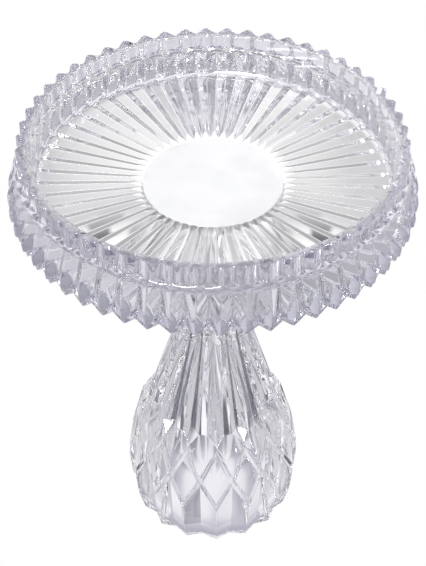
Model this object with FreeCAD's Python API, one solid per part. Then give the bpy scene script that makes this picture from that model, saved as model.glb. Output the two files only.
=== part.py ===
import FreeCAD, Part
import math
import os

# Footed cake stand in heavy clear glass, in millimetres.
# The stand rests on the plane z = 0 with its axis of symmetry on Z.
# Angle 0 points to the front (-Y) and grows towards +X.

# Driving dimensions of the tray
TRAY_RADIUS = 130.0          # tips of the zigzag skirt, before their chamfer
FLUTES = 54                  # V flutes round the gallery, one skirt tip each
TIP_HEIGHT = 268.0           # lowest points of the skirt above the table
RIM_HEIGHT = 318.0           # tops of the rim teeth above the table
TOOTH_RISE = 1.8             # the rim stands this much higher on a ridge than in a valley
FLOOR_HEIGHT = 287.5         # serving face
GALLERY_RADIUS = 116.0       # inner edge of the rim
WALL_FOOT_RADIUS = 114.0     # inner face of the gallery where it meets the floor corner
FLOOR_CORNER = 7.0           # rounding between the gallery and the floor
BAND_VALLEYS = 0.974         # valley radius over ridge radius on the upright band
SKIRT_VALLEYS = 0.955        # and on the skirt
RIB_ROOT_HEIGHT = 281.0      # valleys between the ribs under the floor
RIB_SLOPE = 0.043            # a rib stands this much lower for each millimetre of radius
SEAT_RADIUS = 45.0           # plain round seat under the middle of the floor

# Driving dimensions of the pedestal
CUTS = 16                    # flutes, kites and foot points round the pedestal
BOND = 0.4                   # adhesive film between pedestal and tray
FLANGE_RADIUS = 45.0
FLANGE_THICKNESS = 4.0
NECK_TOP_RADIUS = 34.0
KITE_TOP = (52.4, 87.5)      # (radius, height) of the kites' upper corners
KITE_FOOT = (61.2, 39.0)     # (radius, height) of the kites' lower corners
KITE_SIDE_HEIGHT = 62.0
FOOT_POINT_RADIUS = 54.6
FOOT_NOTCH_RADIUS = 50.0
HOLLOW_MOUTH = (44.0, 0.0)   # (radius, height) of the hollow's mouth
HOLLOW_BEND = (41.0, 62.0)   # its wall starts to lean towards the axis here
HOLLOW_SPRING = (13.0, 153.0)   # and turns into a dome here
HOLLOW_BEND_REACH = 12.0     # the bend is rounded this far both ways

SEAT_HEIGHT = RIB_ROOT_HEIGHT - RIB_SLOPE * SEAT_RADIUS
PEDESTAL_HEIGHT = SEAT_HEIGHT - BOND
FLAT_ENOUGH = 1e-6           # four corners this near to one plane make one facet


def at(radius, angle, height):
    """A point from its distance to the axis, its angle from the front and its height."""
    return FreeCAD.Vector(radius * math.sin(angle), -radius * math.cos(angle), height)


def facet(*corners):
    return Part.Face(Part.makePolygon(list(corners) + [corners[0]]))


def patch(a, b, c, d):
    """The facets across four corners: one if they share a plane, else two triangles."""
    normal = (b - a).cross(c - a).normalize()
    if abs((d - a).dot(normal)) < FLAT_ENOUGH:
        return [facet(a, b, c, d)]
    return [facet(a, b, c), facet(a, c, d)]


def belt(upper, lower):
    """The facets between two closed rings with the same number of points."""
    faces = []
    for here in range(len(upper)):
        following = (here + 1) % len(upper)
        faces += patch(upper[here], lower[here], lower[following], upper[following])
    return faces


def closed_solid(faces):
    shell = Part.makeCompound(faces)
    shell.sewShape()
    solid = Part.makeSolid(shell.Shells[0])
    if solid.Volume < 0:
        solid.reverse()
    return solid


def revolved(profile):
    """A body of revolution from a list of edges that closes on the axis."""
    face = Part.Face(Part.Wire(Part.__sortEdges__(profile)))
    return face.revolve(FreeCAD.Vector(0, 0, 0), FreeCAD.Vector(0, 0, 1), 360)


def line(start, end):
    return Part.makeLine(FreeCAD.Vector(start[0], 0, start[1]), FreeCAD.Vector(end[0], 0, end[1]))


def arc(start, middle, end):
    points = [FreeCAD.Vector(p[0], 0, p[1]) for p in (start, middle, end)]
    return Part.Arc(*points).toShape()


# --- Tray: floor, fluted gallery and zigzag skirt in one pressing ---

def star(ridge, valley):
    """A ring of alternating ridge and valley points, each given as (radius, height)."""
    points = []
    for flute in range(FLUTES):
        angle = 2 * math.pi * flute / FLUTES
        points.append(at(ridge[0], angle, ridge[1]))
        points.append(at(valley[0], angle + math.pi / FLUTES, valley[1]))
    return points


def plain(radius, height):
    """A round ring with the same points as a star."""
    return star((radius, height), (radius, height))


def rib_height(radius):
    return RIB_ROOT_HEIGHT - RIB_SLOPE * radius


RIM_RING = GALLERY_RADIUS + 1.2           # where the teeth rise from the flat of the rim
RIM_FLAT = RIM_HEIGHT - TOOTH_RISE
BAND_RADIUS = 0.950 * TRAY_RADIUS         # ridges of the upright band of the gallery
BAND_FOOT = TIP_HEIGHT + 35.0             # a plain round bead parts the band from the skirt
BEAD_TOP = (124.3, BAND_FOOT + 0.6)
BEAD_FOOT = (125.0, BAND_FOOT - 1.3)
SKIRT_TOP_RADIUS = 125.4
SKIRT_TOP = BAND_FOOT - 2.0
BULGE_RADIUS = 1.012 * TRAY_RADIUS        # widest place of the skirt
BULGE_HEIGHT = TIP_HEIGHT + 14.0
ZIGZAG_DEPTH = 6.5                        # the skirt's edge is this much higher in a valley
BORDER_WIDTH = 4.8                        # plain sunk border along the zigzag
BORDER_RADIUS = 128.6
EDGE_RADIUS = 127.8
EDGE_THICKNESS = 1.2
FLUTE_END_RADII = (130.4, 125.2)          # ridge and valley of the flutes above the border
RIB_START_RADIUS = 121.0                  # ribs leave the inner side of the skirt here
ROOT_START_RADIUS = 116.5
RIB_END_RADIUS = SEAT_RADIUS + 1.0
ROOT_END_RADIUS = SEAT_RADIUS + 8.0


def zigzag(radius, height, valley_radius=None):
    """A ring that follows the zigzag edge."""
    return star((radius, height), (valley_radius or radius, height + ZIGZAG_DEPTH))


def tray():
    flute_end, valley_end = FLUTE_END_RADII
    rings = [
        plain(RIM_RING, RIM_FLAT),
        star((BAND_RADIUS, RIM_HEIGHT), (BAND_VALLEYS * BAND_RADIUS, RIM_FLAT)),
        star((BAND_RADIUS, BAND_FOOT + 1.4), (BAND_VALLEYS * BAND_RADIUS, BAND_FOOT + 1.4)),
        plain(*BEAD_TOP),
        plain(*BEAD_FOOT),
        star((SKIRT_TOP_RADIUS, SKIRT_TOP), (SKIRT_VALLEYS * SKIRT_TOP_RADIUS, SKIRT_TOP)),
        star((BULGE_RADIUS, BULGE_HEIGHT), (SKIRT_VALLEYS * BULGE_RADIUS, BULGE_HEIGHT)),
        zigzag(flute_end, TIP_HEIGHT + BORDER_WIDTH, valley_end),
        zigzag(BORDER_RADIUS, TIP_HEIGHT + BORDER_WIDTH - 0.8),
        zigzag(EDGE_RADIUS, TIP_HEIGHT),
        zigzag(EDGE_RADIUS - EDGE_THICKNESS, TIP_HEIGHT),
        star((RIB_START_RADIUS, rib_height(RIB_START_RADIUS)), (ROOT_START_RADIUS, RIB_ROOT_HEIGHT)),
        star((RIB_END_RADIUS, rib_height(RIB_END_RADIUS)), (ROOT_END_RADIUS, RIB_ROOT_HEIGHT)),
        plain(SEAT_RADIUS, SEAT_HEIGHT),
    ]
    faces = [facet(*rings[0]), facet(*rings[-1])]
    for upper, lower in zip(rings, rings[1:]):
        faces += belt(upper, lower)
    return closed_solid(faces).cut(tray_inside())


def tray_inside():
    """The space above the floor, inside the gallery."""
    above = RIM_HEIGHT + 10.0
    corner_top = FLOOR_HEIGHT + FLOOR_CORNER
    corner_in = WALL_FOOT_RADIUS - FLOOR_CORNER
    bend = FLOOR_CORNER * (1 - math.sqrt(0.5))
    return revolved([
        line((0, FLOOR_HEIGHT), (corner_in, FLOOR_HEIGHT)),
        arc((corner_in, FLOOR_HEIGHT), (WALL_FOOT_RADIUS - bend, FLOOR_HEIGHT + bend),
            (WALL_FOOT_RADIUS, corner_top)),
        line((WALL_FOOT_RADIUS, corner_top), (GALLERY_RADIUS, RIM_FLAT)),
        line((GALLERY_RADIUS, RIM_FLAT), (GALLERY_RADIUS, above)),
        line((GALLERY_RADIUS, above), (0, above)),
        line((0, above), (0, FLOOR_HEIGHT)),
    ])


# --- Pedestal: flanged neck, fluted shoulder, kite-cut bulb and pointed hollow foot ---

STEP = 2 * math.pi / CUTS
HALF_STEP = STEP / 2

# Neck and shoulder from top to bottom: height, ridge radius, valley radius, half width of
# the flat land that runs down each ridge
NECK = [
    (274.0, 34.0, 32.5, 1.0),
    (262.0, 28.6, 26.2, 1.0),
    (245.0, 25.4, 22.0, 1.1),
    (218.0, 24.2, 20.2, 1.2),
    (188.0, 24.0, 20.0, 1.4),
    (163.0, 24.7, 21.5, 1.68),
    (96.0, 44.3, 38.7, 3.0),
]
LAND_WIDEST = (83.0, 50.6, 4.2)   # height, radius and half width of the land below the shoulder
WAIST_HEIGHT = 17.0          # the foot flutes bend here
WAIST_POINT_RADIUS = 58.9
WAIST_NOTCH_RADIUS = 54.4


def neck_ring(height, ridge, valley, half_land):
    """Valley, land corner and land corner again, for each of the flutes."""
    points = []
    land_angle = math.atan2(half_land, ridge)
    corner = math.hypot(half_land, ridge)
    for cut in range(CUTS):
        angle = cut * STEP
        points.append(at(valley, angle, height))
        points.append(at(corner, angle + HALF_STEP - land_angle, height))
        points.append(at(corner, angle + HALF_STEP + land_angle, height))
    return points


def between(low, high, height):
    """Radius at a height on the straight line between two (radius, height) points."""
    share = (height - low[1]) / (high[1] - low[1])
    return low[0] + share * (high[0] - low[0])


def pedestal_outside():
    neck = [neck_ring(*level) for level in NECK]
    faces = [facet(*neck[0])]
    for upper, lower in zip(neck, neck[1:]):
        faces += belt(upper, lower)

    side_radius = between(KITE_FOOT, KITE_TOP, KITE_SIDE_HEIGHT) / math.cos(HALF_STEP)
    land_height, land_radius, land_half = LAND_WIDEST
    land_corner = math.hypot(land_radius, land_half)
    land_angle = math.atan2(land_half, land_radius)

    foot = []
    for cut in range(CUTS):
        angle = cut * STEP
        here, after = angle + HALF_STEP, angle + STEP
        valley, left, right = neck[-1][3 * cut:3 * cut + 3]
        next_valley = neck[-1][(3 * cut + 3) % (3 * CUTS)]
        top, next_top = at(KITE_TOP[0], angle, KITE_TOP[1]), at(KITE_TOP[0], after, KITE_TOP[1])
        side_before = at(side_radius, angle - HALF_STEP, KITE_SIDE_HEIGHT)
        side = at(side_radius, here, KITE_SIDE_HEIGHT)
        low = at(KITE_FOOT[0], angle, KITE_FOOT[1])
        next_low = at(KITE_FOOT[0], after, KITE_FOOT[1])
        land_left = at(land_corner, here - land_angle, land_height)
        land_right = at(land_corner, here + land_angle, land_height)
        waist = at(WAIST_POINT_RADIUS, angle, WAIST_HEIGHT)
        waist_notch = at(WAIST_NOTCH_RADIUS, here, WAIST_HEIGHT)
        next_waist = at(WAIST_POINT_RADIUS, after, WAIST_HEIGHT)
        point = at(FOOT_POINT_RADIUS, angle, 0)
        notch = at(FOOT_NOTCH_RADIUS, here, 0)
        next_point = at(FOOT_POINT_RADIUS, after, 0)

        # run-out of the flute, then the land and the slivers on both sides of it
        faces += [facet(valley, top, left), facet(right, next_top, next_valley)]
        faces += [facet(left, top, land_left), facet(land_left, top, side)]
        faces += [facet(right, land_right, next_top), facet(land_right, side, next_top)]
        faces += patch(left, land_left, land_right, right)
        faces.append(facet(land_left, side, land_right))
        # kite, leaf-shaped flute below it and its steeper end at the foot
        faces.append(facet(top, side_before, low, side))
        faces += patch(side, low, waist, waist_notch)
        faces += patch(side, waist_notch, next_waist, next_low)
        faces += patch(waist_notch, waist, point, notch)
        faces += patch(waist_notch, notch, next_point, next_waist)
        foot += [point, notch]
    faces.append(facet(*foot))
    return closed_solid(faces)


def flange():
    """The flat head that the tray is bonded to, with a rounded rim and a curved underside."""
    under = PEDESTAL_HEIGHT - FLANGE_THICKNESS
    neck_top = NECK[0][0] - 1.0
    round_middle = (FLANGE_RADIUS, (PEDESTAL_HEIGHT + under) / 2)
    cove = ((FLANGE_RADIUS + NECK_TOP_RADIUS) / 2 - 2.2, (under + neck_top) / 2 + 0.8)
    inner = NECK_TOP_RADIUS - 3.0
    return revolved([
        line((0, PEDESTAL_HEIGHT), (FLANGE_RADIUS - 1.0, PEDESTAL_HEIGHT)),
        arc((FLANGE_RADIUS - 1.0, PEDESTAL_HEIGHT), round_middle, (FLANGE_RADIUS - 1.0, under)),
        arc((FLANGE_RADIUS - 1.0, under), cove, (inner, neck_top)),
        line((inner, neck_top), (0, neck_top)),
        line((0, neck_top), (0, PEDESTAL_HEIGHT)),
    ])


def hollow():
    """The tall hollow under the foot, whose leaning wall follows the shoulder, with a dome."""
    below = (HOLLOW_MOUTH[0], -10.0)
    corner = FreeCAD.Vector(HOLLOW_BEND[0], 0, HOLLOW_BEND[1])
    down = FreeCAD.Vector(HOLLOW_MOUTH[0], 0, HOLLOW_MOUTH[1]).sub(corner).normalize()
    up = FreeCAD.Vector(HOLLOW_SPRING[0], 0, HOLLOW_SPRING[1]).sub(corner).normalize()
    half_turn = (math.pi - down.getAngle(up)) / 2
    bend_radius = HOLLOW_BEND_REACH / math.tan(half_turn)
    inward = (down + up).normalize()
    bend_start = corner + down * HOLLOW_BEND_REACH
    bend_middle = corner + inward * bend_radius * (1 / math.cos(half_turn) - 1)
    bend_end = corner + up * HOLLOW_BEND_REACH
    bend = [(point.x, point.z) for point in (bend_start, bend_middle, bend_end)]

    spring_radius, spring_height = HOLLOW_SPRING
    lean = math.atan2(-up.x, up.z)
    dome_radius = spring_radius / math.cos(lean)
    dome_centre = spring_height - spring_radius * math.tan(lean)
    halfway = (lean + math.pi / 2) / 2
    dome_middle = (dome_radius * math.cos(halfway), dome_centre + dome_radius * math.sin(halfway))
    top = (0, dome_centre + dome_radius)
    return revolved([
        line((0, below[1]), below),
        line(below, HOLLOW_MOUTH),
        line(HOLLOW_MOUTH, bend[0]),
        arc(*bend),
        line(bend[2], HOLLOW_SPRING),
        arc(HOLLOW_SPRING, dome_middle, top),
        line(top, (0, below[1])),
    ])


def pedestal():
    return pedestal_outside().fuse(flange()).cut(hollow())


# --- Adhesive film between the ground head of the pedestal and the seat of the tray ---

def bond_film():
    radius = FLANGE_RADIUS - 0.3
    return Part.makeCylinder(radius, BOND, FreeCAD.Vector(0, 0, PEDESTAL_HEIGHT))


os.makedirs("parts", exist_ok=True)
for name, shape in (("tray", tray()), ("pedestal", pedestal()), ("bond_film", bond_film())):
    box = shape.BoundBox
    print(name, shape.isValid(), len(shape.Solids), "solid", len(shape.Faces), "faces",
          round(shape.Volume / 1000), "cm3", "z", round(box.ZMin, 2), round(box.ZMax, 2))
    shape.exportStep("parts/" + name + ".step")
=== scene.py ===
# %% [markdown]
# The cake stand is two heavy pieces of clear glass and one thin film of adhesive. The packed
# model already fixes where each piece is, so the lesson starts by loading it, and every size
# that follows is worked out from its boxes.

# %% Load the imported model
import math

import bmesh
import bpy
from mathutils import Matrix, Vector
from mathutils.geometry import intersect_point_line


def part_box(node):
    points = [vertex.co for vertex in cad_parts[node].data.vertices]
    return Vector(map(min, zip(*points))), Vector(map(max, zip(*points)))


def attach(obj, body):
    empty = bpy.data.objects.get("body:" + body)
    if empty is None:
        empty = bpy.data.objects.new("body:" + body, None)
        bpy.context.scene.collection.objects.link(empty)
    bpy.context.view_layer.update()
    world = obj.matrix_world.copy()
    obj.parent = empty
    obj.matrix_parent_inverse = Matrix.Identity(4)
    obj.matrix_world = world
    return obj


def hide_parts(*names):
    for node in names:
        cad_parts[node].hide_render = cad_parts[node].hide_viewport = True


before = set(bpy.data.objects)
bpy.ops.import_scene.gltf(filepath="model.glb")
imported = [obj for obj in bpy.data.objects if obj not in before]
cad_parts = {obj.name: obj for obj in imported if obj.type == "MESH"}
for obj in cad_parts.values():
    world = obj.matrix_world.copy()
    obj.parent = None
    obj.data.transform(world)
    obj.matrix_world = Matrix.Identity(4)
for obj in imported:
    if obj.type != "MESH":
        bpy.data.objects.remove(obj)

MM = 0.001
scene = bpy.context.scene
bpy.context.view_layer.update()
tray_low, tray_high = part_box("tray")
film_low, film_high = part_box("bond_film")
bulge_radius = (tray_high.y - tray_low.y) / 2
print("tray", round(bulge_radius * 2 / MM), "mm across, stand", round(tray_high.z / MM), "mm high")


# %% [markdown]
# Glass is best seen a little from above, where the flutes, the floor and the skirt all show.
# A long lens from far away keeps the tray's circle from bulging towards the viewer. The camera
# is turned round the axis by a couple of degrees, so that no flute points exactly at it.

# %% Camera
SKIRT_RADIUS = 130.0 * MM
CAMERA_DISTANCE = 9.083 * SKIRT_RADIUS     # from the middle of the circle of skirt tips
CAMERA_RISE = math.radians(39.05)
LOOK_DOWN = math.radians(41.62)
CAMERA_TURN = math.radians(-2.2)
LONG_SIDE_LENS = 116.75                    # for a 36 mm sensor along the frame's long side

camera = bpy.data.objects.new("camera", bpy.data.cameras.new("camera"))
scene.collection.objects.link(camera)
camera.data.lens = LONG_SIDE_LENS
camera.data.sensor_width = 36.0
camera.location = (
    CAMERA_DISTANCE * math.cos(CAMERA_RISE) * math.sin(CAMERA_TURN),
    -CAMERA_DISTANCE * math.cos(CAMERA_RISE) * math.cos(CAMERA_TURN),
    tray_low.z + CAMERA_DISTANCE * math.sin(CAMERA_RISE),
)
camera.rotation_euler = (math.pi / 2 - LOOK_DOWN, 0, CAMERA_TURN)
scene.camera = camera
print("camera", round(camera.location.length, 2), "m from the foot")


# %% [markdown]
# Both glass pieces are built from rings: closed loops of points that all have the same count,
# stacked from one end of a profile to the other. Neighbouring rings are joined with four-sided
# faces. It is the plainest way to make a watertight shell whose flutes start, deepen and fade
# exactly where they should.

# %% Helpers that turn rings into a mesh
def at(radius, angle, height):
    """A point from its distance to the axis, its angle from the front and its height."""
    return Vector((radius * math.sin(angle), -radius * math.cos(angle), height))


def ringed_mesh(name, rings):
    """A closed shell through the rings, with one many-sided face at each end."""
    count = len(rings[0])
    points = [point for ring in rings for point in ring]
    faces = []
    for level in range(len(rings) - 1):
        upper, lower = level * count, (level + 1) * count
        for here in range(count):
            after = (here + 1) % count
            faces.append((upper + here, lower + here, lower + after, upper + after))
    faces.append(tuple(range(count)))
    last = (len(rings) - 1) * count
    faces.append(tuple(last + here for here in reversed(range(count))))
    mesh = bpy.data.meshes.new(name)
    mesh.from_pydata(points, [], faces)
    mesh.update()
    return mesh


def mix(a, b, share):
    return tuple(one + (two - one) * share for one, two in zip(a, b))


def toward(corner, other, distance):
    """The point at a distance from the corner on the way to another corner, at most near half."""
    length = math.dist(corner, other)
    return mix(corner, other, min(distance / length, 0.45))


def softened(corners, reach, steps):
    """A polyline with each inner corner drawn as a short curve that starts at its reach."""
    outline = [corners[0]]
    for before, corner, after, size, count in zip(corners, corners[1:], corners[2:],
                                                  reach[1:], steps[1:]):
        start, end = toward(corner, before, size), toward(corner, after, size)
        for step in range(count + 1):
            share = step / count
            outline.append(mix(mix(start, corner, share), mix(corner, end, share), share))
    outline.append(corners[-1])
    return outline


example = softened([(1, 0), (0, 0), (0, 1)], [0, 0.2, 0], [1, 2, 1])
print("a right angle softened in 2 steps has", len(example), "points")


# %% [markdown]
# One flute is a V: its face falls straight from a ridge to a valley and rises to the next
# ridge. Molten glass never fills a mould to a knife edge, and fire polishing softens it more,
# so the V is rounded over a fourteenth of its width at both ends. These roundings are what
# catches the light as the thin white lines that make pressed glass sparkle.

# %% The wave of one flute
FLUTES = 54
RIDGE_SOFTNESS = 0.035       # half width of the rounding, as a share of one flute
SAMPLES = (0, 0.4, 1.0)      # across the rounding, then the flat face is one span


def flute_wave(share):
    """Height of the wave, 1 on a ridge and 0 in a valley, share counted from a ridge."""
    to_ridge = abs(share - round(share))
    to_valley = 0.5 - to_ridge
    if to_ridge < RIDGE_SOFTNESS:
        return 1 - RIDGE_SOFTNESS - to_ridge ** 2 / RIDGE_SOFTNESS
    if to_valley < RIDGE_SOFTNESS:
        return RIDGE_SOFTNESS + to_valley ** 2 / RIDGE_SOFTNESS
    return 1 - 2 * to_ridge


def scallop_wave(share):
    """A round wave with the same top and bottom, for the soft teeth of the rim."""
    return 0.5 + 0.5 * math.cos(2 * math.pi * share)


near_ridge = [RIDGE_SOFTNESS * s for s in SAMPLES]
half = near_ridge + [0.09, 0.16, 0.25, 0.34, 0.41] + [0.5 - s for s in reversed(near_ridge)]
shares = half + [1 - s for s in reversed(half[1:-1])]
flute_points = [(share, flute_wave(share), scallop_wave(share)) for share in shares]
print(len(flute_points), "points across a flute,", FLUTES * len(flute_points), "round the tray")


# %% [markdown]
# The tray is one pressing, so it is one mesh: over the floor, up the smooth inner wall, across
# the toothed rim, down the fluted outside, over a small ledge, round the swelling skirt and
# its zigzag border, and back to the middle along the ribs under the floor. Each corner of the
# profile is given twice, once where it crosses a ridge and once where it crosses a valley.

# %% Profile of the tray
rim_height = tray_high.z
tip_height = tray_low.z
rim_flat = rim_height - 1.8 * MM
floor_height = 287.5 * MM
gallery_radius = 116.0 * MM
rib_root_height = 281.0 * MM
RIB_SLOPE = 0.043
seat_radius = 45.0 * MM
BAND_VALLEYS = 0.974         # valley radius over ridge radius on the upright band
SKIRT_VALLEYS = 0.955        # and on the skirt
band_foot = tip_height + 35.0 * MM
ZIGZAG_DEPTH = 6.5 * MM
FILM_GAP = 0.03 * MM         # keeps the glass faces off the film between them


def rib_height(radius):
    return rib_root_height - RIB_SLOPE * radius


def round_corner(radius, height):
    return (radius, height), (radius, height)


def band_corner(radius, height, valley_height=None):
    return (radius, height), (BAND_VALLEYS * radius, valley_height or height)


def skirt_corner(radius, height, valley_height=None):
    return (radius, height), (SKIRT_VALLEYS * radius, valley_height or height)


def zigzag(radius, height):
    """A plain round corner whose height follows the zigzag edge."""
    return (radius, height), (radius, height + ZIGZAG_DEPTH)


seat_height = film_high.z + FILM_GAP
# each corner: (ridge point, valley point), reach of its softening, steps in it
tray_corners = [
    (round_corner(20 * MM, floor_height), 0, 1),
    (round_corner(113.7 * MM, floor_height), 8.5 * MM, 10),
    (round_corner(gallery_radius, rim_flat), 0.9 * MM, 4),
    (round_corner(117.1 * MM, rim_flat), 0.2 * MM, 2),
    (band_corner(123.5 * MM, rim_height, rim_flat), 0.8 * MM, 4),
    (band_corner(123.5 * MM, band_foot + 1.4 * MM), 0.3 * MM, 2),
    (round_corner(124.3 * MM, band_foot + 0.6 * MM), 0.7 * MM, 3),
    (round_corner(125.0 * MM, band_foot - 1.3 * MM), 0.5 * MM, 3),
    (skirt_corner(125.4 * MM, band_foot - 2.0 * MM), 0.3 * MM, 2),
    (skirt_corner(bulge_radius, tip_height + 14 * MM), 9 * MM, 8),
    (((130.4 * MM, tip_height + 4.8 * MM), (125.2 * MM, tip_height + 11.3 * MM)), 0.3 * MM, 2),
    (zigzag(128.6 * MM, tip_height + 4.0 * MM), 0.3 * MM, 2),
    (zigzag(127.8 * MM, tip_height), 0.5 * MM, 3),
    (zigzag(126.6 * MM, tip_height), 0.5 * MM, 3),
    (((121 * MM, rib_height(121 * MM)), (116.5 * MM, rib_root_height)), 1.6 * MM, 4),
    (((46 * MM, rib_height(46 * MM)), (53 * MM, rib_root_height)), 0.5 * MM, 3),
    (round_corner(seat_radius, seat_height), 0.2 * MM, 2),
    (round_corner(20 * MM, seat_height), 0, 1),
]
corners = [corner for corner, _, _ in tray_corners]
reach = [size for _, size, _ in tray_corners]
steps = [count for _, _, count in tray_corners]
ridge_line = softened([ridge for ridge, _ in corners], reach, steps)
valley_line = softened([valley for _, valley in corners], reach, steps)
print(len(corners), "corners softened to", len(ridge_line), "levels")


# %% [markdown]
# Between a ridge and a valley the rings follow the wave. The hanging skirt and the ribs have
# plain V flutes. The upright band has the round wave instead, because the teeth of the real rim
# are soft scallops that run down into rounded cells.

# %% Tray mesh
def tray_ring(ridge, valley):
    points = []
    on_band = ridge[1] > band_foot
    for flute in range(FLUTES):
        for share, vee, scallop in flute_points:
            radius, height = mix(valley, ridge, scallop if on_band else vee)
            points.append(at(radius, 2 * math.pi * (flute + share) / FLUTES, height))
    return points


tray_rings = [tray_ring(ridge, valley) for ridge, valley in zip(ridge_line, valley_line)]
tray = bpy.data.objects.new("tray_glass", ringed_mesh("tray_glass", tray_rings))
scene.collection.objects.link(tray)
print("tray", len(tray_rings), "rings,", len(tray.data.polygons), "faces")


# %% [markdown]
# The pedestal is cut rather than only pressed: polished flat facets meet at crisp edges. So
# this piece is built facet by facet. The neck is a stack of rings again, because its flutes
# bend along their length, and below it each of the sixteen cuts adds the same kite, leaf and
# slivers, turned round the axis.

# %% Neck of the pedestal
CUTS = 16
STEP = 2 * math.pi / CUTS
HALF_STEP = STEP / 2
AROUND = 8                   # points to each cut: valley, face, face, land corner, and back

# height, ridge radius, valley radius and half width of the flat land on each ridge
neck_sections = [[size * MM for size in section] for section in (
    (273.6, 38.0, 37.8, 0.8),
    (270.5, 33.4, 32.4, 0.9),
    (262.0, 28.6, 26.2, 1.0),
    (245.0, 25.4, 22.0, 1.1),
    (218.0, 24.2, 20.2, 1.2),
    (188.0, 24.0, 20.0, 1.4),
    (165.0, 24.1, 21.0, 1.6),
    (162.0, 25.0, 21.8, 1.7),
)]
shoulder = [size * MM for size in (96.0, 44.3, 38.7, 3.0)]
BETWEEN_SECTIONS = 6


def smooth_between(sections, count):
    """Sections on the smooth curve that passes through the given ones."""
    made = []
    last = len(sections) - 1
    for index in range(last):
        a = sections[max(index - 1, 0)]
        b, c = sections[index], sections[index + 1]
        d = sections[min(index + 2, last)]
        for step in range(count):
            t = step / count
            made.append([
                0.5 * (2 * q + (r - p) * t + (2 * p - 5 * q + 4 * r - s) * t ** 2
                       + (3 * q - p - 3 * r + s) * t ** 3)
                for p, q, r, s in zip(a, b, c, d)])
    made.append(list(sections[-1]))
    return made


neck_levels = smooth_between(neck_sections, BETWEEN_SECTIONS)
print(len(neck_sections), "sections of the neck smoothed to", len(neck_levels))


# %% [markdown]
# Each level is a ring of flat faces: from a valley up to a narrow flat land, across it, and down
# to the next valley. Extra points on those straight lines let every ring have the same count as
# the round head above, so that one joins the other without gaps.

# %% Rings of the neck and the head
def neck_ring(height, ridge, valley, half_land):
    """Points of one section, all on straight lines between the valleys and the lands."""
    land_angle = math.atan2(half_land, ridge)
    corner_radius = math.hypot(half_land, ridge)
    points = []
    for cut in range(CUTS):
        angle = cut * STEP
        low = at(valley, angle, height)
        left = at(corner_radius, angle + HALF_STEP - land_angle, height)
        right = at(corner_radius, angle + HALF_STEP + land_angle, height)
        following = at(valley, angle + STEP, height)
        points += [low, low.lerp(left, 1 / 3), low.lerp(left, 2 / 3), left,
                   left.lerp(right, 1 / 2), right,
                   right.lerp(following, 1 / 3), right.lerp(following, 2 / 3)]
    return points


def circle_ring(radius, height, count=CUTS * AROUND):
    return [at(radius, 2 * math.pi * index / count, height) for index in range(count)]


head_height = film_low.z - FILM_GAP
head_line = softened([(20 * MM, head_height), (45 * MM, head_height),
                      (45 * MM, head_height - 4 * MM), (41 * MM, head_height - 4.6 * MM)],
                     [0, 1.4 * MM, 1.6 * MM, 0], [1, 5, 5, 1])
neck_rings = [circle_ring(*point) for point in head_line]
neck_rings += [neck_ring(*level) for level in neck_levels]
neck_rings.append(neck_ring(*shoulder))
print("neck", len(neck_rings), "rings")


# %% [markdown]
# The bulb's corners are worked out from a few radii and heights. A kite has to be flat, so its
# side corners are not free: they lie where the line between its top and its foot passes the
# side height.

# %% Facets of the bulb and the foot
kite_top = (52.4 * MM, 87.5 * MM)
kite_foot = (61.2 * MM, 39.0 * MM)
kite_side_height = 62.0 * MM
land_widest = (4.2 * MM, 50.6 * MM, 83.0 * MM)   # half width, radius and height
waist = (58.9 * MM, 54.4 * MM, 17.0 * MM)    # radius on a point, in a notch, and height
foot_point_radius = 54.6 * MM
foot_notch_radius = 50.0 * MM
HOLLOW_MOUTH = 44.0 * MM
HOLLOW_BEND = (41.0 * MM, 62.0 * MM)         # radius and height where its wall starts to lean
HOLLOW_SPRING = (13.0 * MM, 153.0 * MM)      # where the wall turns into a dome


def radius_between(low, high, height):
    return mix(low, high, (height - low[1]) / (high[1] - low[1]))[0]


side_radius = radius_between(kite_foot, kite_top, kite_side_height) / math.cos(HALF_STEP)
print("kites meet", round(side_radius / MM, 1), "mm from the axis")


# %% [markdown]
# One function lists the facets of one cut, and the mesh calls it sixteen times. A facet is a
# short list of corners. Neighbours share corners by their place, so each corner is worked out
# in one way only, wherever it is used.

# %% Facets of one cut
def turned(ring, start, stop):
    """Points start to stop of a ring, counted past its end."""
    return [ring[index % len(ring)] for index in range(start, stop + 1)]


def cut_facets(cut, ring):
    """The facets of one cut below the shoulder, and the borders of its kite."""
    angle, here, after = cut * STEP, cut * STEP + HALF_STEP, (cut + 1) * STEP
    first = cut * AROUND
    valley_to_left = turned(ring, first, first + 3)
    land = turned(ring, first + 3, first + 5)
    right_to_valley = turned(ring, first + 5, first + 8)
    left, right = land[0], land[-1]
    top, next_top = at(kite_top[0], angle, kite_top[1]), at(kite_top[0], after, kite_top[1])
    side_before = at(side_radius, angle - HALF_STEP, kite_side_height)
    side = at(side_radius, here, kite_side_height)
    low, next_low = at(kite_foot[0], angle, kite_foot[1]), at(kite_foot[0], after, kite_foot[1])
    half_land, land_radius, land_height = land_widest
    land_angle = math.atan2(half_land, land_radius)
    land_corner = math.hypot(half_land, land_radius)
    land_left = at(land_corner, here - land_angle, land_height)
    land_right = at(land_corner, here + land_angle, land_height)
    bend, next_bend = at(waist[0], angle, waist[2]), at(waist[0], after, waist[2])
    bend_notch = at(waist[1], here, waist[2])
    point, next_point = at(foot_point_radius, angle, 0), at(foot_point_radius, after, 0)
    notch = at(foot_notch_radius, here, 0)
    facets = [
        valley_to_left + [top], right_to_valley + [next_top],
        [left, land_left, top], [land_left, side, top],
        [right, next_top, land_right], [land_right, next_top, side],
        land + [land_right, land_left], [land_left, land_right, side],
        [top, side, low, side_before],
        [side, bend_notch, bend, low], [side, next_low, next_bend, bend_notch],
        [bend_notch, notch, point, bend], [bend_notch, next_bend, next_point, notch],
    ]
    borders = [(top, side), (top, side_before), (side, low), (side_before, low)]
    return facets, borders, (point, notch)


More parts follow.
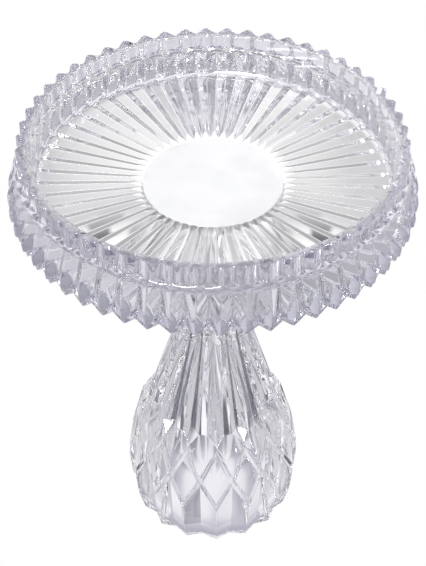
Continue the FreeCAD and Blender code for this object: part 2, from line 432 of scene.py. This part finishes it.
print(len(cut_facets(0, neck_rings[-1])[0]), "facets to a cut")


# %% [markdown]
# Under the foot the ring of points and notches closes flat on the table, and a hollow rises
# from it so that the thick glass cools evenly. The hollow is round, so its rings have a whole
# number of points for each notch and meet the foot's outline without stray edges.

# %% Hollow under the foot
DOME_STEPS = 6
lean = math.atan2(HOLLOW_BEND[0] - HOLLOW_SPRING[0], HOLLOW_SPRING[1] - HOLLOW_BEND[1])
dome_radius = HOLLOW_SPRING[0] / math.cos(lean)
dome_centre = HOLLOW_SPRING[1] - HOLLOW_SPRING[0] * math.tan(lean)
hollow_line = softened([(HOLLOW_MOUTH, 0), HOLLOW_BEND, HOLLOW_SPRING], [0, 12 * MM, 0], [1, 8, 1])
for step in range(1, DOME_STEPS):
    rise = lean + (math.pi / 2 - lean) * step / DOME_STEPS
    hollow_line.append((dome_radius * math.cos(rise), dome_centre + dome_radius * math.sin(rise)))
hollow_rings = [circle_ring(*point) for point in hollow_line]
print("hollow", round((dome_centre + dome_radius) / MM), "mm deep in", len(hollow_rings), "rings")


# %% [markdown]
# The kites are framed by mitred grooves that a wheel cut along their borders. A bevel of two
# segments splits each border into two strips, and the line between them is then pushed into
# the glass, which gives a V with clean mitres where four grooves meet.

# %% Grooves along the kites
KITE_BORDER = 2.0 * MM                 # half width of the groove along a kite
GROOVE_DEPTH = 1.5 * MM


def cut_grooves(build, borders):
    """Splits each border into two strips and sinks the line between them into the glass."""
    lines = [(edge.verts[0].co.copy(), edge.verts[1].co.copy()) for edge in borders]
    made = bmesh.ops.bevel(build, geom=borders, offset=KITE_BORDER, offset_type="OFFSET",
                           segments=2, profile=0.5, affect="EDGES", clamp_overlap=False)
    for corner in made["verts"]:
        nearest = min((intersect_point_line(corner.co, *ends)[0] - corner.co).length
                      for ends in lines)
        if nearest < KITE_BORDER / 2:
            corner.co.xy *= 1 - GROOVE_DEPTH / corner.co.xy.length


print("grooves", 2 * KITE_BORDER / MM, "mm wide and", GROOVE_DEPTH / MM, "mm deep")


# %% [markdown]
# Everything is gathered in one bmesh: the head and the neck, the cuts, the ring underneath and
# the hollow. Corners are looked up by their rounded place, so that facets share them and the
# shell closes. Folds that are sharp enough to be real edges get a weight for the polish.

# %% Pedestal mesh
POLISH_ANGLE = math.radians(7)         # sharper folds than this are real edges
SAME_PLACE = 0.001 * MM


def key(point):
    return tuple(round(value / SAME_PLACE) for value in point)


def pedestal_mesh():
    build = bmesh.new()
    known = {}

    def vertex(point):
        if key(point) not in known:
            known[key(point)] = build.verts.new(point)
        return known[key(point)]

    def facet(points):
        build.faces.new([vertex(point) for point in points])

    def belt(upper, lower):
        for here in range(len(upper)):
            after = (here + 1) % len(upper)
            facet([upper[here], lower[here], lower[after], upper[after]])

    facet(neck_rings[0])
    for upper, lower in zip(neck_rings, neck_rings[1:]):
        belt(upper, lower)
    kite_borders = []
    foot = []
    for cut in range(CUTS):
        facets, borders, corners = cut_facets(cut, neck_rings[-1])
        for points in facets:
            facet(points)
        kite_borders += borders
        foot += corners
    mouth = hollow_rings[0]
    share = len(mouth) // len(foot)
    for index, corner in enumerate(foot):
        arc = turned(mouth, index * share, (index + 1) * share)
        facet([corner, foot[(index + 1) % len(foot)]] + arc[::-1])
    for upper, lower in zip(hollow_rings, hollow_rings[1:]):
        belt(upper, lower)
    facet(hollow_rings[-1])
    bmesh.ops.recalc_face_normals(build, faces=build.faces)
    borders = {build.edges.get((vertex(start), vertex(end))) for start, end in kite_borders}
    cut_grooves(build, list(borders))

    weight = build.edges.layers.float.new("bevel_weight_edge")
    for edge in build.edges:
        if edge.calc_face_angle() > POLISH_ANGLE:
            edge[weight] = 1.0
    mesh = bpy.data.meshes.new("pedestal_glass")
    build.to_mesh(mesh)
    build.free()
    return mesh


pedestal = bpy.data.objects.new("pedestal_glass", pedestal_mesh())
scene.collection.objects.link(pedestal)
print("pedestal", len(pedestal.data.polygons), "faces")


# %% [markdown]
# A bevel turns each sharp edge of the pedestal into a narrow facet, which is how a polisher
# breaks the edges of cut glass. It is driven by the weights that the mesh gave its sharp folds,
# and the tray has none, because its ridges are already round. Smooth shading with area-weighted
# normals then keeps wide facets flat and bends the light only on the narrow ones.

# %% Polish of the edges
EDGE_POLISH = 0.33 * MM                # width that the polisher takes off an edge


def add_polish(piece):
    if "bevel_weight_edge" in piece.data.attributes:
        polish = piece.modifiers.new("broken_edges", "BEVEL")
        polish.limit_method = "WEIGHT"
        polish.width = EDGE_POLISH
        polish.segments = 2
        polish.use_clamp_overlap = False
    piece.data.shade_smooth()
    normals = piece.modifiers.new("flat_facets", "WEIGHTED_NORMAL")
    normals.keep_sharp = True


for piece in (tray, pedestal):
    add_polish(piece)
    print(piece.name, "has", ", ".join(modifier.name for modifier in piece.modifiers))


# %% [markdown]
# Materials are graphs of small nodes. Three short helpers keep them readable: one makes a node
# and plugs its inputs, one makes a ramp from a list of stops, and one mixes two colours.

# %% Helpers for materials
def node(tree, kind, *feeds, **settings):
    """A new node with its settings, each feed being a socket, a constant or nothing."""
    made = tree.nodes.new("ShaderNode" + kind)
    for name, value in settings.items():
        setattr(made, name, value)
    for socket, feed in zip(made.inputs, feeds):
        if isinstance(feed, bpy.types.NodeSocket):
            tree.links.new(feed, socket)
        elif feed is not None:
            socket.default_value = feed
    return made


def ramp(tree, feed, stops, scale=1.0):
    """A colour ramp through (place, tone) stops, whose places are divided by the scale."""
    made = node(tree, "ValToRGB", feed)
    elements = made.color_ramp.elements
    elements[1].position = stops[-1][0] / scale
    elements[0].position = stops[0][0] / scale
    for place, _ in stops[1:-1]:
        elements.new(place / scale)
    for element, (_, tone) in zip(elements, stops):
        element.color = (*tone, 1) if isinstance(tone, tuple) else (tone, tone, tone, 1)
    return made.outputs[0]


def colour_mix(tree, share, one, two):
    made = node(tree, "Mix", share, data_type="RGBA")
    for socket, feed in ((made.inputs[6], one), (made.inputs[7], two)):
        if isinstance(feed, tuple):
            socket.default_value = (*feed, 1)
        else:
            tree.links.new(feed, socket)
    return made.outputs[2]


print("helpers ready:", node.__name__, ramp.__name__, colour_mix.__name__)


# %% [markdown]
# An effect that more than one glass uses is a node group: built once, placed in each material.
# The first is the colour. Crystal is clear, yet never one even thing. Traces in it read as a
# faint violet grey, and melts are never stirred perfectly, so upright streaks of slightly other
# glass, called cords, run through it. The tint is a ramp by height that the cords shift a
# little, and it can be kept to what lies outside a radius, so that the tray's floor stays clear
# while its gallery and skirt are tinted. There the grey is far darker than the glass's faint
# violet: that darkness is painted shade, for the darker room that the gallery and skirt show.

# %% Tint and cords
CLEAR = (0.985, 0.985, 0.99)
CORD_COLOUR = (0.80, 0.80, 0.86)
CORD_SPACING = (60.0, 60.0, 9.0)       # noise cells to a metre: narrow and tall
CORD_DETAIL = (1.0, 3.0, 0.6)          # scale, detail and roughness of the noise
CORD_SHIFT = 4 * MM                    # how far a cord moves the tint
CORD_SHARE = 0.05                      # how much of its own colour a cord adds
EDGE_FADE = 1.5 * MM


def new_group(name, outputs):
    group = bpy.data.node_groups.new(name, "ShaderNodeTree")
    for label, kind in outputs:
        group.interface.new_socket(label, in_out="OUTPUT", socket_type="NodeSocket" + kind)
    return group


def cord_tint(name, bands, edge):
    """Tint by height in metres, outside an edge radius only, shifted a little by the cords."""
    group = new_group(name, [("Tint", "Color")])
    place = node(group, "NewGeometry").outputs["Position"]
    stretch = node(group, "Mapping", place, None, None, CORD_SPACING).outputs[0]
    cords = node(group, "TexNoise", stretch, None, *CORD_DETAIL).outputs[0]
    height = node(group, "SeparateXYZ", place).outputs["Z"]
    wander = node(group, "Math", cords, CORD_SHIFT, height, operation="MULTIPLY_ADD").outputs[0]
    level = node(group, "VectorMath", place, (1, 1, 0), operation="MULTIPLY").outputs[0]
    radius = node(group, "VectorMath", level, operation="LENGTH").outputs["Value"]
    # on the tray, the part outside the edge gets the painted shade of its gallery and skirt
    outside = node(group, "MapRange", radius, edge - EDGE_FADE, edge, 0.0, 1.0).outputs[0]
    tint = colour_mix(group, outside, CLEAR, ramp(group, wander, bands))
    faint = node(group, "MapRange", cords, 0.35, 0.65, 0.0, CORD_SHARE).outputs[0]
    group_output = group.nodes.new("NodeGroupOutput")
    group.links.new(colour_mix(group, faint, tint, CORD_COLOUR), group_output.inputs["Tint"])
    return group


# violet hue of the glass, made far darker as painted shade on the tray's gallery and skirt only
GALLERY_TINT_AND_SHADE = (0.58, 0.57, 0.67)
TRAY_TINT_AND_SHADE = [(0.0, GALLERY_TINT_AND_SHADE), (1.0, GALLERY_TINT_AND_SHADE)]
PEDESTAL_TINT = [(0.0, (0.93, 0.93, 0.96)), (0.150, (0.96, 0.96, 0.98)), (0.500, CLEAR)]
tray_tint_and_shade = cord_tint("tray_tint_and_shade", TRAY_TINT_AND_SHADE, 119 * MM)
pedestal_tint = cord_tint("pedestal_tint", PEDESTAL_TINT, 0)
print("tints", tray_tint_and_shade.name, "and", pedestal_tint.name)


# %% [markdown]
# On the real pedestal the valleys between the flutes, and some of the leaf-shaped facets at the
# foot, read nearly black beside white ones, because they bend the view towards dark parts of
# the room. A small studio can't reproduce that room, so a group paints part of it into the
# glass colour as painted shade: a grey line of its own width along each valley, and a grey tone
# of its own for each half leaf. White noise of a whole number gives each valley and each leaf a
# fixed draw.

# %% Painted shade of the valleys and leaves
VALLEY_WIDTHS = (0.01, 0.13)           # narrowest and widest half line, as shares of one cut
VALLEY_EDGE = 0.03                     # softness of a line's edge, as a share of one cut
SPREAD_HEIGHTS = (105 * MM, 165 * MM)  # lines narrow between these heights
SPREADS = (1.3, 0.7)                   # from this many times their width to this many
NECK_FADE = (90 * MM, 97 * MM)         # lines end above the kites
LEAF_DRAWS = (0.60, 1.00)              # draws above the first one darken a half leaf
LEAF_SHADE = 0.6
LEAF_MARGIN = 2 * MM                   # keeps the tone off the kite's groove


def on_scale(group, feed, ends, values):
    """The feed brought from one span of numbers to another, and kept within it."""
    return node(group, "MapRange", feed, *ends, *values).outputs[0]


def drawn(group, number):
    """A fixed draw from 0 to 1 for each whole number."""
    return node(group, "TexWhiteNoise", None, number, noise_dimensions="1D").outputs["Value"]


def product(tree, one, two):
    return node(tree, "Math", one, two, operation="MULTIPLY").outputs[0]


def painted_facet_shade():
    """How much painted shade darkens the glass in the flutes' valleys and on some leaf facets, 0 to
    1.
    """
    group = new_group("painted_facet_shade", [("Shade", "Float")])
    place = node(group, "NewGeometry").outputs["Position"]
    height = node(group, "SeparateXYZ", place).outputs["Z"]
    turn = node(group, "TexGradient", place, gradient_type="RADIAL").outputs["Fac"]
    cuts = product(group, turn, CUTS)
    off_valley = node(group, "Math", cuts, 0.5, operation="PINGPONG").outputs[0]

    # painted shade: a grey line along each valley, for the dark room it would show
    valley = node(group, "Math", cuts, operation="ROUND").outputs[0]
    width = on_scale(group, drawn(group, valley), (0.0, 1.0), VALLEY_WIDTHS)
    width = product(group, width, on_scale(group, height, SPREAD_HEIGHTS, SPREADS))
    inner = node(group, "Math", width, VALLEY_EDGE, operation="SUBTRACT").outputs[0]
    line = on_scale(group, off_valley, (inner, width), (1.0, 0.0))
    line = product(group, line, on_scale(group, height, NECK_FADE, (0.0, 1.0)))

    # painted shade: a grey tone on some half leaves, for the dark room they would show
    half_cut = node(group, "Math", product(group, cuts, 2.0), operation="FLOOR").outputs[0]
    picked = on_scale(group, drawn(group, half_cut), LEAF_DRAWS, (0.0, LEAF_SHADE))
    rise = 2 * (kite_side_height - kite_foot[1])
    leaf_top = node(group, "Math", off_valley, rise, kite_foot[1] - LEAF_MARGIN,
                    operation="MULTIPLY_ADD").outputs[0]
    below = node(group, "Math", leaf_top, height, operation="GREATER_THAN").outputs[0]
    above = on_scale(group, height, (waist[2] - 1 * MM, waist[2]), (0.0, 1.0))
    leaf = product(group, product(group, below, above), picked)
    shade = node(group, "Math", line, leaf, operation="MAXIMUM").outputs[0]
    group_output = group.nodes.new("NodeGroupOutput")
    group.links.new(shade, group_output.inputs["Shade"])
    return group


pedestal_painted_shade = painted_facet_shade()
print("shade on", CUTS, "valleys and", 2 * CUTS, "half leaves")


# %% [markdown]
# Fire polishing leaves a surface with very slow ripples, and years of cake knives and washing
# leave a haze too fine to see from far away. Ripples could be modelled, but they are a few
# hundredths of a millimetre high, so a bump on the normal is enough, and the haze is a little
# roughness. Both pieces share one group, because they have aged together.

# %% Fire polish
RIPPLE = (45.0, 1.0, 0.4)              # scale, detail and roughness of the slow ripples
RIPPLE_STRENGTH = 0.10
RIPPLE_HEIGHT = 0.4 * MM
WEAR = (300.0, 4.0, 0.7)
HAZE = 0.02                            # most roughness that wear gives


def fire_polish():
    """Slow ripples for the normal, and a haze of fine wear for the roughness."""
    group = new_group("fire_polish", [("Roughness", "Float"), ("Normal", "Vector")])
    place = node(group, "NewGeometry").outputs["Position"]
    ripple = node(group, "TexNoise", place, None, *RIPPLE).outputs[0]
    bump = node(group, "Bump", RIPPLE_STRENGTH, RIPPLE_HEIGHT)
    group.links.new(ripple, bump.inputs["Height"])
    wear = node(group, "TexNoise", place, None, *WEAR).outputs[0]
    group_output = group.nodes.new("NodeGroupOutput")
    haze = on_scale(group, wear, (0.45, 0.80), (0.0, HAZE))
    group.links.new(haze, group_output.inputs["Roughness"])
    group.links.new(bump.outputs[0], group_output.inputs["Normal"])
    return group


polish = fire_polish()
print("haze up to", HAZE, "roughness")


# %% [markdown]
# With the groups made, a glass is a short material: tint and painted shade into base colour,
# haze into roughness and ripples into the normal. Its refractive index of 1.52 is that of
# ordinary crystal, and what never changes over the surface is set on the shader itself.

# %% Clear glass
GLASS_INDEX = 1.52
# painted shade: the grey that the valleys and some leaves take for the dark room they would show
PAINTED_VALLEY_GREY = (0.13, 0.13, 0.16)


def clear_glass(name, tint, polish, shade=None):
    material = bpy.data.materials.new(name)
    material.use_nodes = True
    tree = material.node_tree
    shader = tree.nodes["Principled BSDF"]
    shader.inputs["IOR"].default_value = GLASS_INDEX
    shader.inputs["Metallic"].default_value = 0.0
    shader.inputs["Transmission Weight"].default_value = 1.0
    colour = node(tree, "Group", node_tree=tint).outputs["Tint"]
    polish_node = node(tree, "Group", node_tree=polish)
    # painted shade: the colour is darkened towards grey where the shade group says
    if shade:
        shade_node = node(tree, "Group", node_tree=shade)
        colour = colour_mix(tree, shade_node.outputs["Shade"], colour, PAINTED_VALLEY_GREY)
    tree.links.new(colour, shader.inputs["Base Color"])
    tree.links.new(polish_node.outputs["Roughness"], shader.inputs["Roughness"])
    tree.links.new(polish_node.outputs["Normal"], shader.inputs["Normal"])
    return material


# both glasses carry painted shade in their colour: the tray on its gallery and skirt, the pedestal
# in its valleys and leaves
tray.data.materials.append(clear_glass("tray_glass", tray_tint_and_shade, polish))
pedestal.data.materials.append(clear_glass("pedestal_glass", pedestal_tint, polish, pedestal_painted_shade))
print("glass with", len(bpy.data.node_groups), "groups")


# %% [markdown]
# Light-cured adhesive is squeezed to a film between two ground faces. Ground glass scatters, so
# the joint reads as a white disc through the tray, slightly uneven where the paste was thicker,
# with a few trapped bubbles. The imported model's thin disc already has the right shape, so it
# stays and only gets this material: noise for the paste, and the cells of a Voronoi texture for
# the bubbles.

# %% Adhesive film
PASTE = [(0.35, (0.93, 0.93, 0.94)), (0.65, (0.99, 0.99, 0.99))]
PASTE_CLOUDS = (55.0, 3.0, 0.5)        # scale, detail and roughness of the noise
PASTE_ROUGHNESS = (0.55, 0.75)
BUBBLES_PER_METRE = 260.0
BUBBLE_EDGE = (0.05, 0.12)             # where a bubble fades, as shares of its cell
BUBBLE_SHARE = 0.35
BUBBLE_COLOUR = (0.86, 0.86, 0.88)


def adhesive():
    material = bpy.data.materials.new("adhesive")
    material.use_nodes = True
    tree = material.node_tree
    shader = tree.nodes["Principled BSDF"]
    place = node(tree, "NewGeometry").outputs["Position"]
    cloud = node(tree, "TexNoise", place, None, *PASTE_CLOUDS).outputs[0]
    white = ramp(tree, cloud, PASTE)
    cells = node(tree, "TexVoronoi", place, None, BUBBLES_PER_METRE).outputs["Distance"]
    bubble = on_scale(tree, cells, BUBBLE_EDGE, (BUBBLE_SHARE, 0.0))
    tree.links.new(colour_mix(tree, bubble, white, BUBBLE_COLOUR), shader.inputs["Base Color"])
    rough = on_scale(tree, cloud, (0.3, 0.7), PASTE_ROUGHNESS)
    tree.links.new(rough, shader.inputs["Roughness"])
    return material


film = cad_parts["bond_film"]
film_material = adhesive()
for slot in film.material_slots:
    slot.material = film_material
print("film", round((film_high.x - film_low.x) / MM, 1), "mm across")


# %% [markdown]
# Clear glass shows nothing of its own: what is seen in it is the room, bent and mirrored. On a
# white table the real glass also throws shadows and gathers light into bright patches. Tracing
# those is slow and noisy, so here the floor glows by itself and two versions of it are mixed by
# the kind of ray. A ray straight from the eye meets plain white. A ray that the glass has bent
# meets painted shadows and painted light instead: grey tones by distance with a dark ring of
# painted shadow round the foot and a bright ring beside it, a fan of dark rays of painted shadow
# close behind the foot, and brighter patches of painted light farther behind and to the right,
# where the front view looks through the glass. The tones and places were chosen for that view,
# not worked out from the light.

# %% Painted shadows and light on the floor
FLOOR_SEEN = (1.0, 1.0, 1.0)           # what the eye meets beside the stand
# painted shadow and light: a dark ring of the foot's shadow, a bright ring of gathered light beside
# it, and grey farther out
PAINTED_FLOOR_TONES = [                        # distance from the axis in metres, colour
    (0.000, (0.95, 0.95, 0.97)),
    (0.022, (0.90, 0.90, 0.93)),
    (0.030, (0.62, 0.61, 0.68)),
    (0.045, (0.42, 0.41, 0.48)),
    (0.058, (0.42, 0.41, 0.48)),
    (0.066, (1.05, 1.05, 1.05)),
    (0.080, (0.75, 0.75, 0.76)),
    (0.120, (0.64, 0.64, 0.65)),
    (0.450, (0.62, 0.62, 0.63)),
    (0.600, (0.62, 0.62, 0.64)),
    (1.600, (0.52, 0.52, 0.54)),
]
FARTHEST = 2.0                         # metres that the ramps span
# a reach is a list of distances and strengths, a sector the cosines between which it fades in
# painted light: bright patches behind the stand, where the glass would gather light
GLOW_TONE = (1.15, 1.15, 1.15)
GLOW_REACH = [(0.130, 0.0), (0.200, 1.0), (0.450, 1.0), (0.600, 0.0)]
GLOW_SECTOR = (0.76, 0.94)             # from straight behind
# painted shadow: a fan of dark rays close behind the foot
RAYS = 12
SHADOW_RAY_TONE = (0.05, 0.05, 0.07)          # between two rays the floor has the glow's tone
RAY_REACH = [(0.012, 0.0), (0.030, 0.3), (0.055, 0.6), (0.062, 1.0), (0.105, 1.0), (0.130, 0.0)]
RAY_SECTOR = (0.60, 0.80)              # from straight behind
RAY_EDGE = (-0.25, 0.25)               # of the cosine that makes the rays
# painted light: a bright patch to the right, from the window
WINDOW_TONE = (1.0, 1.0, 1.0)
WINDOW_SECTOR = (0.05, 0.35)           # from straight to the right
WINDOW_FADE = (0.34 / FARTHEST, 0.42 / FARTHEST)
print(len(PAINTED_FLOOR_TONES), "tones and", RAYS, "rays")


# %% [markdown]
# The floor is one big square just under the foot. Seen from below it is left open, so that the
# hollow and the ribs can be looked at from there.

# %% Floor
FLOOR_HALF = 4.0
FLOOR_GAP = 0.5 * MM                   # keeps the foot's underside off the floor


def bent_view_of_floor(tree):
    """The colour that a bent or mirrored ray meets on the floor: painted shadows and painted light.
    """
    place = node(tree, "NewGeometry").outputs["Position"]
    length = node(tree, "VectorMath", place, operation="LENGTH").outputs["Value"]
    distance = node(tree, "Math", length, FARTHEST, operation="DIVIDE").outputs[0]
    heading = node(tree, "VectorMath", place, operation="NORMALIZE").outputs["Vector"]
    right, behind, _ = node(tree, "SeparateXYZ", heading).outputs
    # painted shadow and light by distance from the axis
    tones = ramp(tree, distance, PAINTED_FLOOR_TONES, FARTHEST)

    # painted light: the bright patches behind the stand
    glow = on_scale(tree, behind, GLOW_SECTOR, (0.0, 1.0))
    glow = product(tree, glow, ramp(tree, distance, GLOW_REACH, FARTHEST))
    tones = colour_mix(tree, glow, tones, GLOW_TONE)

    # painted light: the bright patch to the right
    window = on_scale(tree, right, WINDOW_SECTOR, (0.0, 1.0))
    window = product(tree, window, on_scale(tree, distance, WINDOW_FADE, (0.0, 1.0)))
    tones = colour_mix(tree, window, tones, WINDOW_TONE)

    # painted shadow: the fan of dark rays behind the foot
    turn = node(tree, "TexGradient", place, gradient_type="RADIAL").outputs["Fac"]
    angle = product(tree, turn, 2 * math.pi * RAYS)
    wave = node(tree, "Math", angle, operation="COSINE").outputs[0]
    rays = colour_mix(tree, on_scale(tree, wave, RAY_EDGE, (1.0, 0.0)), GLOW_TONE, SHADOW_RAY_TONE)
    share = on_scale(tree, behind, RAY_SECTOR, (0.0, 1.0))
    share = product(tree, share, ramp(tree, distance, RAY_REACH, FARTHEST))
    return colour_mix(tree, share, tones, rays)


def floor_material():
    material = bpy.data.materials.new("pale_floor")
    material.use_nodes = True
    tree = material.node_tree
    tree.nodes.clear()
    # bent and mirrored rays meet the painted shadows and light
    bent = node(tree, "Emission", bent_view_of_floor(tree)).outputs[0]
    seen = node(tree, "Emission", (*FLOOR_SEEN, 1)).outputs[0]
    direct = node(tree, "LightPath").outputs["Is Camera Ray"]
    above = node(tree, "MixShader", direct, bent, seen).outputs[0]
    from_below = node(tree, "NewGeometry").outputs["Backfacing"]
    clear = node(tree, "BsdfTransparent").outputs[0]
    node(tree, "OutputMaterial", node(tree, "MixShader", from_below, above, clear).outputs[0])
    return material


def stage_floor():
    size = FLOOR_HALF
    mesh = bpy.data.meshes.new("floor")
    mesh.from_pydata([(-size, -size, 0), (size, -size, 0), (size, size, 0), (-size, size, 0)],
                     [], [(0, 1, 2, 3)])
    mesh.materials.append(floor_material())
    floor = bpy.data.objects.new("floor", mesh)
    scene.collection.objects.link(floor)
    floor.location.z = -FLOOR_GAP


stage_floor()
print("floor", 2 * FLOOR_HALF, "m square")


# %% [markdown]
# All light comes from the studio round the stand, as soft bands: a grey wall, a white band
# above it and a grey ceiling. Two round cards add to it: a window on the right, and a softbox
# above the viewer's left shoulder. The softbox isn't straight overhead, where the flat floor of
# the tray would mirror it into every view from the top. The eye itself sees a white background.

# %% Studio light
WORLD_BANDS = [                        # height of the direction, colour
    (0.00, (0.38, 0.38, 0.40)),
    (0.30, (0.58, 0.58, 0.60)),
    (0.46, (0.70, 0.70, 0.71)),
    (0.54, (1.00, 1.00, 1.00)),
    (0.66, (1.00, 1.00, 1.00)),
    (0.74, (0.42, 0.42, 0.43)),
    (0.95, (0.42, 0.42, 0.43)),
]
CARDS = [                              # direction, cosines of the soft edge, colour
    ((0.95, 0.10, 0.25), (0.60, 0.78), (1.0, 1.0, 1.0)),
    ((-0.25, -0.55, 0.80), (0.97, 0.985), (62.0, 62.0, 62.0)),
]


def studio_world():
    world = bpy.data.worlds.new("studio")
    scene.world = world
    world.use_nodes = True
    tree = world.node_tree
    toward_light = node(tree, "TexCoord").outputs["Generated"]
    height = node(tree, "SeparateXYZ", toward_light).outputs["Z"]
    result = ramp(tree, height, WORLD_BANDS)
    for direction, edge, colour in CARDS:
        axis = Vector(direction).normalized()
        dot = node(tree, "VectorMath", toward_light, axis, operation="DOT_PRODUCT").outputs["Value"]
        share = node(tree, "MapRange", dot, *edge, interpolation_type="SMOOTHSTEP").outputs[0]
        result = colour_mix(tree, share, result, colour)
    direct = node(tree, "LightPath").outputs["Is Camera Ray"]
    result = colour_mix(tree, direct, result, FLOOR_SEEN)
    tree.links.new(result, tree.nodes["Background"].inputs["Color"])


studio_world()
print(len(CARDS), "cards in the studio")


# %% [markdown]
# A view through cut glass crosses many faces, so light paths need room to pass them all before
# they are cut off. Standard view keeps the white background white, and denoising cleans what is
# left of the grain.

# %% Light paths
GLASS_BOUNCES = 24
MIRROR_BOUNCES = 12
SCATTER_BOUNCES = 3

scene.view_settings.view_transform = "Standard"
scene.cycles.max_bounces = GLASS_BOUNCES
scene.cycles.transmission_bounces = GLASS_BOUNCES
scene.cycles.glossy_bounces = MIRROR_BOUNCES
scene.cycles.diffuse_bounces = SCATTER_BOUNCES
scene.cycles.use_denoising = True
print("up to", GLASS_BOUNCES, "bounces")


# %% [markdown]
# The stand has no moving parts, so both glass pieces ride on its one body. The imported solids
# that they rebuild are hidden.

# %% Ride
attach(tray, "root")
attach(pedestal, "root")
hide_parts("tray")
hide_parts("pedestal")
